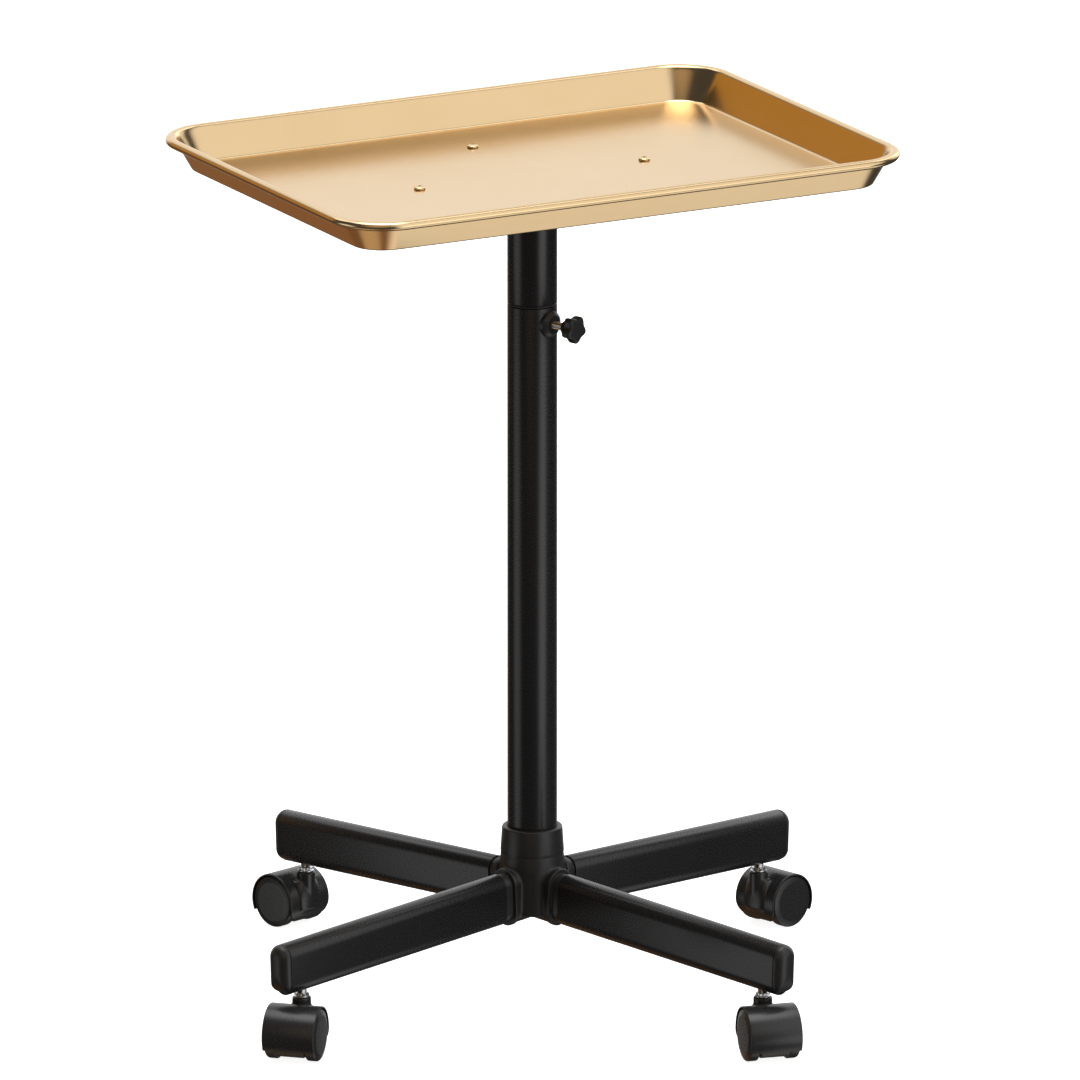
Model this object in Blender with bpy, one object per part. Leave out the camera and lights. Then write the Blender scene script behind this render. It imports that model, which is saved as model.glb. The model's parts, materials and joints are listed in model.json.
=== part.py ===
"""Instrument cart: a rolled-rim tray on a telescoping column with a four-legged castor base.

Metres, +Z up. The origin is on the column's axis at floor level, and the tray's long side lies
along X. The cart is modelled at its lowest height setting, with the clamp knob tightened.
"""

import math

import bmesh
import bpy
from mathutils import Matrix, Vector

# ---------------------------------------------------------------- driving dimensions
GAP = 0.0003  # between pieces that touch, or where one is held in another

# Column and mast
COLUMN_RADIUS = 0.019
COLUMN_WALL = 0.0015
COLUMN_TOP = 0.5390
MAST_RADIUS = 0.016
MAST_WALL = 0.0015
MAST_BOTTOM = 0.150
BUSH_FLANGE = 0.0017
BUSH_DEPTH = 0.040

# Tray: the outside of the rolled rim, and the floor inside it
TRAY_LENGTH = 0.480
TRAY_WIDTH = 0.347
TRAY_INSET = 0.020
TRAY_DEPTH = 0.0265
TRAY_TOP = 0.665
TRAY_SHEET = 0.0012
FLOOR_CORNER_RADIUS = 0.020
SCREW_REACH = 0.096  # tray screws from the column's axis, on the tray's centre lines
SCREW_RADIUS = 0.002
SCREW_HOLE = 0.00235
PLATE_THICKNESS = 0.0025

# Hub
HUB_TOP = 0.130
HUB_SHOULDER = 0.100
HUB_BOTTOM = 0.063
HUB_RADIUS = 0.0250
HUB_TOP_RADIUS = 0.0230
SOCKET_FLOOR = 0.082
BOLT_RADIUS = 0.004
BOLT_HEAD_RADIUS = 0.0065
BOLT_HEAD_HEIGHT = 0.0055

# Legs: flat-oval tubes that fall slightly towards their ends
LEG_COUNT = 4
FIRST_LEG_ANGLE = math.radians(17)
LEG_HEIGHT = 0.040
LEG_WIDTH = 0.020
LEG_WALL = 0.0015
LEG_AXIS_HEIGHT = 0.0795
LEG_FALL = math.radians(2.27)
STUB_END = 0.030
TUBE_START = 0.037
TUBE_END = 0.266
LEG_TIP = 0.274
LEG_SCREW_REACH = 0.052
LEG_SCREW_RADIUS = 0.0024

# Castors: hooded, with twin wheels
STEM_REACH = 0.246
CASTOR_TRAIL = 0.017
WHEEL_RADIUS = 0.020
WHEEL_INNER = 0.0119
WHEEL_OUTER = 0.0208
HOOD_BORE = 0.0206
HOOD_RADIUS = 0.0219
HOOD_HALF_WIDTH = 0.0203
HOOD_START = math.radians(-27)  # round the axle, from where the castor trails
HOOD_END = math.radians(122)
WEB_HALF_WIDTH = 0.0115
BOSS_TOP = 0.0443
BOSS_RADIUS = 0.0072
BOSS_BORE_END = 0.028
STEM_RADIUS = 0.004
STEM_TOP = 0.074
AXLE_RADIUS = 0.0025
# Where each castor trails at rest, from the direction of its leg
CASTOR_TURNS = [math.radians(degrees) for degrees in (0, 0, 29, -29)]

# Clamp
CLAMP_HEIGHT = 0.5262
CLAMP_ANGLE = math.radians(-70)
CLAMP_FACE = 0.0225
CLAMP_BOSS_RADIUS = 0.0102
CLAMP_SCREW_RADIUS = 0.003
KNOB_BACK = 0.0332
KNOB_FRONT = 0.0465
KNOB_LOBES = 5

# ---------------------------------------------------------------- derived dimensions
COLUMN_BORE = COLUMN_RADIUS - COLUMN_WALL
MAST_BORE = MAST_RADIUS - MAST_WALL
SLIDE_BORE = MAST_RADIUS + GAP
BUSH_TOP = COLUMN_TOP + GAP + BUSH_FLANGE
FLOOR_BOTTOM = TRAY_TOP - TRAY_DEPTH
FLOOR_TOP = FLOOR_BOTTOM + TRAY_SHEET
PLATE_TOP = FLOOR_BOTTOM - GAP
PLATE_BOTTOM = PLATE_TOP - PLATE_THICKNESS
MAST_TOP = PLATE_BOTTOM - GAP
LEG_RADIUS = LEG_WIDTH / 2  # of the oval's round top and bottom
LEG_FLAT = LEG_HEIGHT / 2 - LEG_RADIUS  # half of its straight side
LEG_BORE = LEG_RADIUS - LEG_WALL
LEG_SCREW_HOLE = LEG_SCREW_RADIUS + 0.0004
STEM_HOLE = STEM_RADIUS + 0.0004
BOLT_HOLE = BOLT_RADIUS + GAP
RECESS_TOP = HUB_BOTTOM + 0.008  # of the pocket for the bolt's head under the hub
LEG_SCREW_PLACE = Vector((LEG_SCREW_REACH, 0, 0))
STEM_PLACE = Vector((STEM_REACH, 0, 0))
BELOW_LEGS = 0.030  # where the cutters for holes in the legs' undersides start
ROUND = 32  # sides of a column tube and of what fits it


# ---------------------------------------------------------------- materials
def material(name, colour, roughness, metallic=0.0):
    made = bpy.data.materials.new(name)
    made.use_nodes = True
    shader = made.node_tree.nodes["Principled BSDF"]
    shader.inputs["Base Color"].default_value = (*colour, 1.0)
    shader.inputs["Roughness"].default_value = roughness
    shader.inputs["Metallic"].default_value = metallic
    return made


# ---------------------------------------------------------------- outlines
def circle(radius, height, steps=ROUND):
    """Points around the Z axis."""
    angles = (2 * math.pi * i / steps for i in range(steps))
    return [Vector((radius * math.cos(a), radius * math.sin(a), height)) for a in angles]


def turned(profile, steps=ROUND):
    """One circle for each (radius, height) of the profile."""
    return [circle(radius, height, steps) for radius, height in profile]


def rounded_rectangle(half_x, half_y, radius, height, steps=6):
    """A rectangle in the XY plane with round corners."""
    points = []
    for corner, (sign_x, sign_y) in enumerate(((1, 1), (-1, 1), (-1, -1), (1, -1))):
        centre = Vector((sign_x * (half_x - radius), sign_y * (half_y - radius), height))
        for i in range(steps + 1):
            angle = math.pi / 2 * (corner + i / steps)
            points.append(centre + radius * Vector((math.cos(angle), math.sin(angle), 0)))
    return points


def oval(radius, reach, steps=6):
    """A flat-oval section of a leg, square to the leg's axis and this far along it.

    radius is that of its round top and bottom.
    """
    points = []
    for middle, start in ((LEG_FLAT, 0), (-LEG_FLAT, math.pi)):
        for i in range(steps + 1):
            angle = start + math.pi * i / steps
            across, up = radius * math.cos(angle), middle + radius * math.sin(angle)
            points.append(leg_point(reach, across, up))
    return points


def leg_point(reach, across, up):
    """A place in a leg's own frame: reach along its falling axis, across it, and up from it."""
    axis = Vector((math.cos(LEG_FALL), 0, -math.sin(LEG_FALL)))
    rise = Vector((math.sin(LEG_FALL), 0, math.cos(LEG_FALL)))
    return Vector((0, across, LEG_AXIS_HEIGHT)) + reach * axis + up * rise


def star(radius, lobe, height, steps=30):
    """A round outline with lobes that stand out by this much and fall back by as much."""
    points = []
    for i in range(steps):
        angle = 2 * math.pi * i / steps
        reach = radius + lobe * math.cos(KNOB_LOBES * angle)
        points.append(Vector((reach * math.cos(angle), reach * math.sin(angle), height)))
    return points


# ---------------------------------------------------------------- solids
def skin(loops, ring=False):
    """A mesh over a run of loops with equal point counts.

    A ring joins the last loop to the first; otherwise both end loops are capped.
    """
    shape = bmesh.new()
    rows = [[shape.verts.new(point) for point in loop] for loop in loops]
    following = rows[1:] + rows[:1] if ring else rows[1:]
    for lower, upper in zip(rows, following):
        for i in range(len(lower)):
            j = (i + 1) % len(lower)
            shape.faces.new((lower[i], lower[j], upper[j], upper[i]))
    if not ring:
        shape.faces.new(rows[0])
        shape.faces.new(rows[-1])
    bmesh.ops.recalc_face_normals(shape, faces=shape.faces)
    mesh = bpy.data.meshes.new("skin")
    shape.to_mesh(mesh)
    shape.free()
    mesh.shade_smooth()
    mesh.set_sharp_from_angle(angle=math.radians(35))
    return mesh


def add(name, mesh, finish, parent=None, matrix=None):
    """A new object that shows this mesh, at a place in its parent's frame."""
    made = bpy.data.objects.new(name, mesh)
    bpy.context.scene.collection.objects.link(made)
    if finish and not mesh.materials:
        mesh.materials.append(finish)
    made.parent = parent
    made.matrix_local = matrix or Matrix.Identity(4)
    return made


def empty(name, matrix, parent=None):
    made = bpy.data.objects.new(name, None)
    bpy.context.scene.collection.objects.link(made)
    made.parent = parent
    made.matrix_local = matrix
    return made


def combined(mesh, joined=(), cut=()):
    """The mesh with others joined to it and then others cut from it, as a new mesh."""
    body = add("combined", mesh, None)
    helpers = []
    for operation, meshes in (("UNION", joined), ("DIFFERENCE", cut)):
        for other in meshes:
            helper = add("helper", other, None)
            helpers.append(helper)
            boolean = body.modifiers.new(operation.lower(), "BOOLEAN")
            boolean.operation = operation
            boolean.object = helper
    graph = bpy.context.evaluated_depsgraph_get()
    result = bpy.data.meshes.new_from_object(body.evaluated_get(graph))
    for helper in [body, *helpers]:
        bpy.data.objects.remove(helper)
    result.materials.clear()
    result.shade_smooth()
    result.set_sharp_from_angle(angle=math.radians(35))
    return result


def placed(mesh, matrix):
    mesh.transform(matrix)
    return mesh


def drill(radius, low, high, place=Vector((0, 0, 0)), steps=12):
    """An upright round rod, turned half a side so that no edge lies in a plane of symmetry."""
    rod = skin(turned([(radius, low), (radius, high)], steps))
    return placed(rod, Matrix.Translation(place) @ Matrix.Rotation(math.pi / steps, 4, "Z"))


# ---------------------------------------------------------------- tray
def rim_loops(offsets):
    """Loops around the tray for each (outwards from the floor's edge, height over its base)."""
    half_x, half_y = TRAY_LENGTH / 2 - TRAY_INSET, TRAY_WIDTH / 2 - TRAY_INSET
    return [
        rounded_rectangle(
            half_x + out, half_y + out, FLOOR_CORNER_RADIUS + out, FLOOR_BOTTOM + up
        )
        for out, up in offsets
    ]


def tray_section():
    """The tray's wall from under the floor's edge, out over the rolled bead and back in."""
    bead_out, bead_up = 0.0044, 0.0035
    bead_centre = Vector((TRAY_INSET - bead_out, TRAY_DEPTH - bead_up))
    bend = 0.0032
    outside = []
    for degrees in (-90, -60, -30):
        angle = math.radians(degrees)
        outside.append((bend * math.cos(angle) - 0.0022, bend * (1 + math.sin(angle))))
    bead = []
    for degrees in range(-150, 151, 30):
        angle = math.radians(degrees)
        bead.append(
            (
                bead_centre.x + bead_out * math.cos(angle),
                bead_centre.y + bead_up * math.sin(angle),
            )
        )
    inside = [(0.0100, 0.0212)]
    for degrees in (-25, -55, -90):
        angle = math.radians(degrees)
        inside.append(
            (
                bend * math.cos(angle) - 0.0034,
                TRAY_SHEET + bend * (1 + math.sin(angle)),
            )
        )
    return outside + bead + inside


def tray_loops():
    """The tray's whole skin, with a middle panel in its floor that is clear of the screws."""
    panel = SCREW_REACH - 0.016
    middle = rounded_rectangle(panel, panel, FLOOR_CORNER_RADIUS, FLOOR_TOP)
    return [*rim_loops(tray_section()), middle]


def screw_places():
    for i in range(4):
        angle = math.pi / 2 * i
        yield Vector((SCREW_REACH * math.cos(angle), SCREW_REACH * math.sin(angle), 0))


def screw_holes():
    """Cutters through the tray's floor and the plate beneath it."""
    return [
        drill(SCREW_HOLE, PLATE_BOTTOM - 0.01, FLOOR_TOP + 0.01, place)
        for place in screw_places()
    ]


def build_tray(parent, gold, steel):
    add("tray", combined(skin(tray_loops()), cut=screw_holes()), gold, parent)

    head = FLOOR_TOP + GAP
    nut_top = PLATE_BOTTOM - GAP
    nut_bottom = nut_top - 0.0032
    nut_radius = 0.0040
    screw = skin(
        turned(
            [
                (0.0015, head + 0.0023),
                (0.0032, head + 0.0019),
                (0.0042, head + 0.0010),
                (0.0045, head),
                (SCREW_RADIUS, head),
                (SCREW_RADIUS, nut_bottom - 0.0015),
            ],
            16,
        )
    )
    nut = skin(
        [
            *turned([(SCREW_HOLE, nut_top), (SCREW_HOLE, nut_bottom)], 6),
            *turned([(nut_radius, nut_bottom), (nut_radius, nut_top)], 6),
        ],
        ring=True,
    )
    for i, place in enumerate(screw_places(), 1):
        add(f"tray_screw_{i}", screw, gold, parent, Matrix.Translation(place))
        add(f"tray_nut_{i}", nut, steel, parent, Matrix.Translation(place))


def build_tray_plate(parent, black):
    """A cross of two flat bars with round ends, with a disc where they meet."""
    half_width, disc_radius = 0.015, 0.032
    half_length = SCREW_REACH + half_width

    def bar(half_x, half_y):
        loops = [
            rounded_rectangle(half_x, half_y, half_width * 0.998, height)
            for height in (PLATE_BOTTOM, PLATE_TOP)
        ]
        return skin(loops)

    disc = skin(turned([(disc_radius, PLATE_BOTTOM), (disc_radius, PLATE_TOP)]))
    bars = [bar(half_length, half_width), bar(half_width, half_length)]
    add("tray_plate", combined(disc, bars, screw_holes()), black, parent)


# ---------------------------------------------------------------- column and mast
def tube(outer, inner, low, high, steps=ROUND):
    return skin(
        turned([(outer, low), (outer, high), (inner, high), (inner, low)], steps), ring=True
    )


def clamp_frame():
    """Z along the clamp screw, outwards from the column's axis; X upwards."""
    turn = Matrix.Rotation(CLAMP_ANGLE, 4, "Z") @ Matrix.Rotation(math.pi / 2, 4, "Y")
    return Matrix.Translation((0, 0, CLAMP_HEIGHT)) @ turn


def clamp_hole():
    """A cutter from the column's axis out through its wall, where the clamp screw passes."""
    reach = COLUMN_RADIUS + 0.01
    return placed(drill(CLAMP_SCREW_RADIUS + GAP, 0.008, reach), clamp_frame())


def build_column(black, plastic, steel):
    column_bottom = SOCKET_FLOOR + GAP
    column = tube(COLUMN_RADIUS, COLUMN_BORE, column_bottom, COLUMN_TOP)
    add("column_tube", combined(column, cut=[clamp_hole()]), black)

    body = COLUMN_BORE - GAP
    flange = COLUMN_TOP + GAP
    chamfer = 0.0006
    bush = skin(
        turned(
            [
                (body, flange - BUSH_DEPTH),
                (body, flange),
                (COLUMN_RADIUS, flange),
                (COLUMN_RADIUS, BUSH_TOP - chamfer),
                (COLUMN_RADIUS - chamfer, BUSH_TOP),
                (SLIDE_BORE, BUSH_TOP),
                (SLIDE_BORE, flange - BUSH_DEPTH),
            ]
        ),
        ring=True,
    )
    add("column_bush", combined(bush, cut=[clamp_hole()]), plastic)

    plug = tube(body, BOLT_HOLE, column_bottom + GAP, column_bottom + 0.018, 24)
    add("column_plug", plug, steel)
    add("hub_bolt", hub_bolt(), steel)
    add("clamp_boss", clamp_boss(), plastic, matrix=clamp_frame())


def hub_bolt():
    """A cylinder-head bolt, up from the hub's recess into the column's plug."""
    head_top = RECESS_TOP - GAP
    head_bottom = head_top - BOLT_HEAD_HEIGHT
    edge = 0.0005
    return skin(
        turned(
            [
                (BOLT_HEAD_RADIUS - edge, head_bottom),
                (BOLT_HEAD_RADIUS, head_bottom + edge),
                (BOLT_HEAD_RADIUS, head_top),
                (BOLT_RADIUS, head_top),
                (BOLT_RADIUS, SOCKET_FLOOR + 0.016),
            ],
            24,
        )
    )


def clamp_boss():
    """A round boss that sits on the column's side and guides the clamp screw."""
    boss = skin(
        turned(
            [
                (CLAMP_BOSS_RADIUS, 0.012),
                (CLAMP_BOSS_RADIUS, CLAMP_FACE - 0.0032),
                (CLAMP_BOSS_RADIUS - 0.0008, CLAMP_FACE - 0.0018),
                (CLAMP_BOSS_RADIUS - 0.0026, CLAMP_FACE),
            ]
        )
    )
    bore = drill(CLAMP_SCREW_RADIUS + GAP, 0.008, CLAMP_FACE + 0.01, steps=24)
    saddle = placed(
        skin(turned([(COLUMN_RADIUS + GAP, -0.03), (COLUMN_RADIUS + GAP, 0.03)])),
        clamp_frame().inverted() @ Matrix.Translation((0, 0, CLAMP_HEIGHT)),
    )
    return combined(boss, cut=[saddle, bore])


def build_mast(parent, black, plastic):
    glide_radius, glide_bore = COLUMN_BORE - GAP, 0.0120
    glide_top = MAST_BOTTOM + 0.025
    seat = MAST_BOTTOM - GAP
    seat_bottom = seat - 0.0027
    glide = skin(
        turned(
            [
                (glide_bore, seat_bottom),
                (glide_radius, seat_bottom),
                (glide_radius, glide_top),
                (SLIDE_BORE, glide_top),
                (SLIDE_BORE, seat),
                (glide_bore, seat),
            ]
        ),
        ring=True,
    )
    add("mast_glide", glide, plastic, parent)
    add("mast_tube", tube(MAST_RADIUS, MAST_BORE, MAST_BOTTOM, MAST_TOP), black, parent)
    sleeve = tube(COLUMN_RADIUS, SLIDE_BORE, BUSH_TOP + GAP, MAST_TOP)
    add("mast_sleeve", sleeve, black, parent)


# ---------------------------------------------------------------- clamp
def build_clamp(plastic, chrome):
    """The clamp's pad, screw and knob along one axis, with the pad against the mast."""
    frame = empty("clamp_axis", clamp_frame())
    tip = COLUMN_RADIUS
    bore_end = KNOB_FRONT - 0.0035
    pad_radius = CLAMP_SCREW_RADIUS - 0.0001
    pad = skin(turned([(pad_radius, MAST_RADIUS + GAP), (pad_radius, tip - GAP)], 16))
    add("clamp_pad", pad, plastic, frame)

    radius, edge = CLAMP_SCREW_RADIUS, 0.0006
    profile = [(radius - edge, tip), (radius, tip + edge), (radius, bore_end - GAP)]
    add("knob_screw", skin(turned(profile, 24)), chrome, frame)

    bore = CLAMP_SCREW_RADIUS + GAP
    head = skin(
        [
            star(bore, 0, bore_end),
            star(bore, 0, KNOB_BACK),
            star(0.0046, 0, KNOB_BACK),
            star(0.0052, 0, KNOB_BACK + 0.0007),
            star(0.0068, 0, KNOB_BACK + 0.0046),
            star(0.0086, 0.0009, KNOB_BACK + 0.0054),
            star(0.0095, 0.0014, KNOB_BACK + 0.0070),
            star(0.0095, 0.0014, KNOB_FRONT - 0.0022),
            star(0.0086, 0.0010, KNOB_FRONT - 0.0006),
            star(0.0072, 0.0003, KNOB_FRONT),
        ]
    )
    add("knob_head", head, plastic, frame)


# ---------------------------------------------------------------- hub and legs
def leg_angles():
    return [FIRST_LEG_ANGLE + 2 * math.pi * i / LEG_COUNT for i in range(LEG_COUNT)]


def leg_bottom(reach):
    """Height of a leg tube's underside."""
    return leg_point(reach, 0, -LEG_HEIGHT / 2).z


def hub_arm():
    """A leg stub with its end flange, the neck beyond it, and the tenon that enters the tube."""
    neck, tenon = 0.001, LEG_WALL + 0.0004  # how far each lies inside the leg tube's outline
    sections = [
        (0.013, 0.0015),
        (STUB_END - 0.004, 0.0015),
        (STUB_END - 0.003, 0.0024),
        (STUB_END - 0.001, 0.0024),
        (STUB_END, 0.0015),
        (STUB_END, -neck),
        (TUBE_START - GAP, -neck),
        (TUBE_START - GAP, -tenon),
        (TUBE_START + 0.028, -tenon),
        (TUBE_START + 0.030, -tenon - 0.002),
    ]
    return skin([oval(LEG_RADIUS + grow, reach) for reach, grow in sections])


def build_hub(plastic):
    """A socket for the column that narrows a little upwards, with a stub for each leg."""
    edge = 0.002
    body = skin(
        turned(
            [
                (HUB_RADIUS - edge, HUB_BOTTOM),
                (HUB_RADIUS, HUB_BOTTOM + edge),
                (HUB_RADIUS, HUB_SHOULDER),
                (HUB_TOP_RADIUS, HUB_TOP - 0.0016),
                (HUB_TOP_RADIUS - 0.0005, HUB_TOP - 0.0005),
                (HUB_TOP_RADIUS - 0.0016, HUB_TOP),
            ]
        )
    )
    arms = [placed(hub_arm(), Matrix.Rotation(angle, 4, "Z")) for angle in leg_angles()]
    socket = skin(
        turned([(COLUMN_RADIUS + GAP, SOCKET_FLOOR), (COLUMN_RADIUS + GAP, HUB_TOP + 0.01)])
    )
    cuts = [
        socket,
        drill(BOLT_HOLE, HUB_BOTTOM - 0.01, SOCKET_FLOOR + 0.01, steps=24),
        drill(BOLT_HEAD_RADIUS + 0.0045, HUB_BOTTOM - 0.01, RECESS_TOP, steps=24),
    ]
    for angle in leg_angles():
        hole = drill(LEG_SCREW_HOLE, BELOW_LEGS, LEG_AXIS_HEIGHT - 0.0015, LEG_SCREW_PLACE)
        cuts.append(placed(hole, Matrix.Rotation(angle, 4, "Z")))
    add("base_hub", combined(body, arms, cuts), plastic)


def leg_tube():
    loops = [
        oval(LEG_RADIUS, TUBE_START),
        oval(LEG_RADIUS, TUBE_END),
        oval(LEG_BORE, TUBE_END),
        oval(LEG_BORE, TUBE_START),
    ]
    middle = LEG_AXIS_HEIGHT - 0.010
    cuts = [
        drill(LEG_SCREW_HOLE, BELOW_LEGS, middle, LEG_SCREW_PLACE),
        drill(STEM_HOLE, BELOW_LEGS, middle, STEM_PLACE),
    ]
    return combined(skin(loops, ring=True), cut=cuts)


def leg_end_cap():
    """A round nose on the tube's end, with a plug inside the tube."""
    start = TUBE_END + GAP
    radius = LEG_TIP - start
    sections = []
    for degrees in (0, 25, 50, 70, 90):
        angle = math.radians(degrees)
        grow = -radius * (1 - math.cos(angle))
        sections.append(oval(LEG_RADIUS + grow, start + radius * math.sin(angle)))
    plug_ends = (TUBE_END - 0.011, TUBE_END + 0.003)
    plug = skin([oval(LEG_BORE - 0.0004, reach) for reach in plug_ends])
    return combined(skin(sections), [plug], [below_nose()])


def below_nose():
    """A cutter that leaves the nose's lower corner as a long curve."""
    across, over = LEG_WIDTH, 0.002
    length, height = 0.014, 0.018
    low = -LEG_HEIGHT / 2
    outline = [(LEG_TIP + over, low - over), (LEG_TIP + over, low + height)]
    steps = 6
    for i in range(steps + 1):
        angle = math.pi / 2 * i / steps
        reach = LEG_TIP - length * (1 - math.cos(angle))
        outline.append((reach, low + height * (1 - math.sin(angle))))
    outline.append((LEG_TIP - length, low - over))
    return skin(
        [[leg_point(reach, side, up) for reach, up in outline] for side in (-across, across)]
    )


def leg_screw():
    """A headless screw up through the tube's underside into the hub's tenon, flush beneath."""
    low = leg_bottom(LEG_SCREW_REACH) + GAP
    edge = 0.0005
    profile = [
        (LEG_SCREW_RADIUS - edge, low),
        (LEG_SCREW_RADIUS, low + edge),
        (LEG_SCREW_RADIUS, LEG_AXIS_HEIGHT - 0.003),
    ]
    return placed(skin(turned(profile, 12)), Matrix.Translation(LEG_SCREW_PLACE))


def castor_insert():
    """The threaded bush inside a leg that holds its castor's stem."""
    low = leg_bottom(STEM_REACH) + 0.0055
    return tube(0.0065, STEM_HOLE, low, low + 0.022, 12)


def castor_stem():
    """A threaded stem with a thin ring and a hexagon nut where it leaves the castor's boss."""
    ring_low = BOSS_TOP + GAP
    nut_low = ring_low + 0.0009
    nut_high = nut_low + 0.0021
    ring_radius, nut_radius = 0.0062, 0.0058
    steps = 12
    loops = [
        circle(STEM_RADIUS, BOSS_BORE_END + GAP, steps),
        circle(STEM_RADIUS, ring_low, steps),
        circle(ring_radius, ring_low, steps),
        circle(ring_radius, nut_low, steps),
        hexagon(nut_radius, nut_low, steps),
        hexagon(nut_radius, nut_high, steps),
        circle(STEM_RADIUS, nut_high, steps),
        circle(STEM_RADIUS, STEM_TOP, steps),
    ]
    return skin(loops)


def hexagon(across, height, steps):
    """A hexagon with this half-width across its corners, as a loop of steps points."""
    points = []
    for point in circle(1.0, 0.0, steps):
        angle = math.atan2(point.y, point.x) % (math.pi / 3) - math.pi / 6
        reach = across * math.cos(math.pi / 6) / math.cos(angle)
        points.append(Vector((reach * point.x, reach * point.y, height)))
    return points


def build_legs(black, plastic, steel, chrome):
    tube_mesh, cap_mesh, screw_mesh = leg_tube(), leg_end_cap(), leg_screw()
    insert_mesh, stem_mesh = castor_insert(), castor_stem()
    at_stem = Matrix.Translation(STEM_PLACE)
    for number, angle in enumerate(leg_angles(), 1):
        frame = empty(f"leg_{number}", Matrix.Rotation(angle, 4, "Z"))
        add(f"leg_tube_{number}", tube_mesh, black, frame)
        add(f"leg_end_cap_{number}", cap_mesh, plastic, frame)
        add(f"leg_screw_{number}", screw_mesh, steel, frame)
        add(f"castor_insert_{number}", insert_mesh, steel, frame, at_stem)
        add(f"castor_stem_{number}", stem_mesh, chrome, frame, at_stem)


# ---------------------------------------------------------------- castors
AXLE_PLACE = Matrix.Translation((CASTOR_TRAIL, 0, WHEEL_RADIUS)) @ Matrix.Rotation(
    -math.pi / 2, 4, "X"
)


def castor_point(reach, across, up):
    """A place in a castor's frame: reach and up are from its axle, across is along it."""
    return Vector((CASTOR_TRAIL + reach, across, WHEEL_RADIUS + up))


def castor_hood():
    """A curved sheet over both wheels, from its low trailing edge over to the stem's side."""
    steps, edge = 11, 0.0008
    section = [
        (HOOD_RADIUS - edge, -HOOD_HALF_WIDTH),
        (HOOD_RADIUS, edge - HOOD_HALF_WIDTH),
        (HOOD_RADIUS, HOOD_HALF_WIDTH - edge),
        (HOOD_RADIUS - edge, HOOD_HALF_WIDTH),
        (HOOD_BORE, HOOD_HALF_WIDTH),
        (HOOD_BORE, -HOOD_HALF_WIDTH),
    ]
    loops = []
    for i in range(steps + 1):
        angle = HOOD_START + (HOOD_END - HOOD_START) * i / steps
        loops.append(
            [
                castor_point(radius * math.cos(angle), across, radius * math.sin(angle))
                for radius, across in section
            ]
        )
    return skin(loops)


def castor_web():
    """The body between the wheels: a disc that swells round the stem's boss."""
    radius = HOOD_BORE + 0.0005
    arc_start, arc_end, steps = math.radians(-150), math.radians(120), 18
    arc = []
    for i in range(steps + 1):
        angle = arc_start + (arc_end - arc_start) * i / steps
        arc.append((radius * math.cos(angle), radius * math.sin(angle)))
    back = -CASTOR_TRAIL - BOSS_RADIUS - 0.0006
    disc_back = [
        (radius * math.cos(math.radians(degrees)), radius * math.sin(math.radians(degrees)))
        for degrees in (148, 189)
    ]
    swollen_back = [(back, 0.0130), (back, -0.0040)]
    swollen = BOSS_RADIUS
    return skin(
        [
            [castor_point(reach, across, up) for reach, up in arc + ends]
            for across, ends in (
                (-WEB_HALF_WIDTH, disc_back),
                (-swollen, swollen_back),
                (swollen, swollen_back),
                (WEB_HALF_WIDTH, disc_back),
            )
        ]
    )


def castor_housing():
    """Hood, web and boss in one. The castor's frame has its stem on Z and trails along +X."""
    boss = drill(BOSS_RADIUS, 0.022, BOSS_TOP, steps=20)
    bore = drill(STEM_HOLE, BOSS_BORE_END, BOSS_TOP + 0.01, steps=16)
    axle_bore = placed(drill(AXLE_RADIUS + GAP, -0.03, 0.03), AXLE_PLACE)
    under, clearance = -0.010, 0.0055
    floor = skin([rounded_rectangle(0.030, 0.013, 0.001, up, 1) for up in (under, clearance)])
    floor = placed(floor, Matrix.Translation((CASTOR_TRAIL, 0, 0)))
    return combined(castor_hood(), [castor_web(), boss], [bore, axle_bore, floor])


def castor_wheel():
    """Turned about Z, with a blind bore in its inner side. Its frame's origin is mid-castor."""
    bore = AXLE_RADIUS + GAP
    edge = 0.0009
    bore_end = WHEEL_OUTER - 0.002
    return skin(
        turned(
            [
                (bore, bore_end),
                (bore, WHEEL_INNER),
                (WHEEL_RADIUS, WHEEL_INNER),
                (WHEEL_RADIUS, WHEEL_OUTER - 2.5 * edge),
                (WHEEL_RADIUS - edge, WHEEL_OUTER - edge),
                (WHEEL_RADIUS - 2.5 * edge, WHEEL_OUTER - 0.4 * edge),
                (WHEEL_RADIUS * 0.6, WHEEL_OUTER),
            ],
            24,
        )
    )


def build_castors(plastic, steel):
    housing_mesh, wheel_mesh = castor_housing(), castor_wheel()
    axle_end = WHEEL_OUTER - 0.002 - GAP
    axle_mesh = skin(turned([(AXLE_RADIUS, -axle_end), (AXLE_RADIUS, axle_end)], 12))
    turned_over = Matrix.Rotation(math.pi, 4, "X")
    for number, angle in enumerate(leg_angles(), 1):
        stem = Matrix.Rotation(angle, 4, "Z") @ Matrix.Translation((STEM_REACH, 0, 0))
        turn = Matrix.Rotation(CASTOR_TURNS[number - 1], 4, "Z")
        frame = empty(f"castor_{number}", stem @ turn)
        add(f"castor_housing_{number}", housing_mesh, plastic, frame)
        add(f"castor_axle_{number}", axle_mesh, steel, frame, AXLE_PLACE)
        add(f"castor_wheel_left_{number}", wheel_mesh, plastic, frame, AXLE_PLACE)
        add(f"castor_wheel_right_{number}", wheel_mesh, plastic, frame, AXLE_PLACE @ turned_over)


# ---------------------------------------------------------------- the cart
def clear_scene():
    for old in list(bpy.data.objects):
        bpy.data.objects.remove(old)


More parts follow.
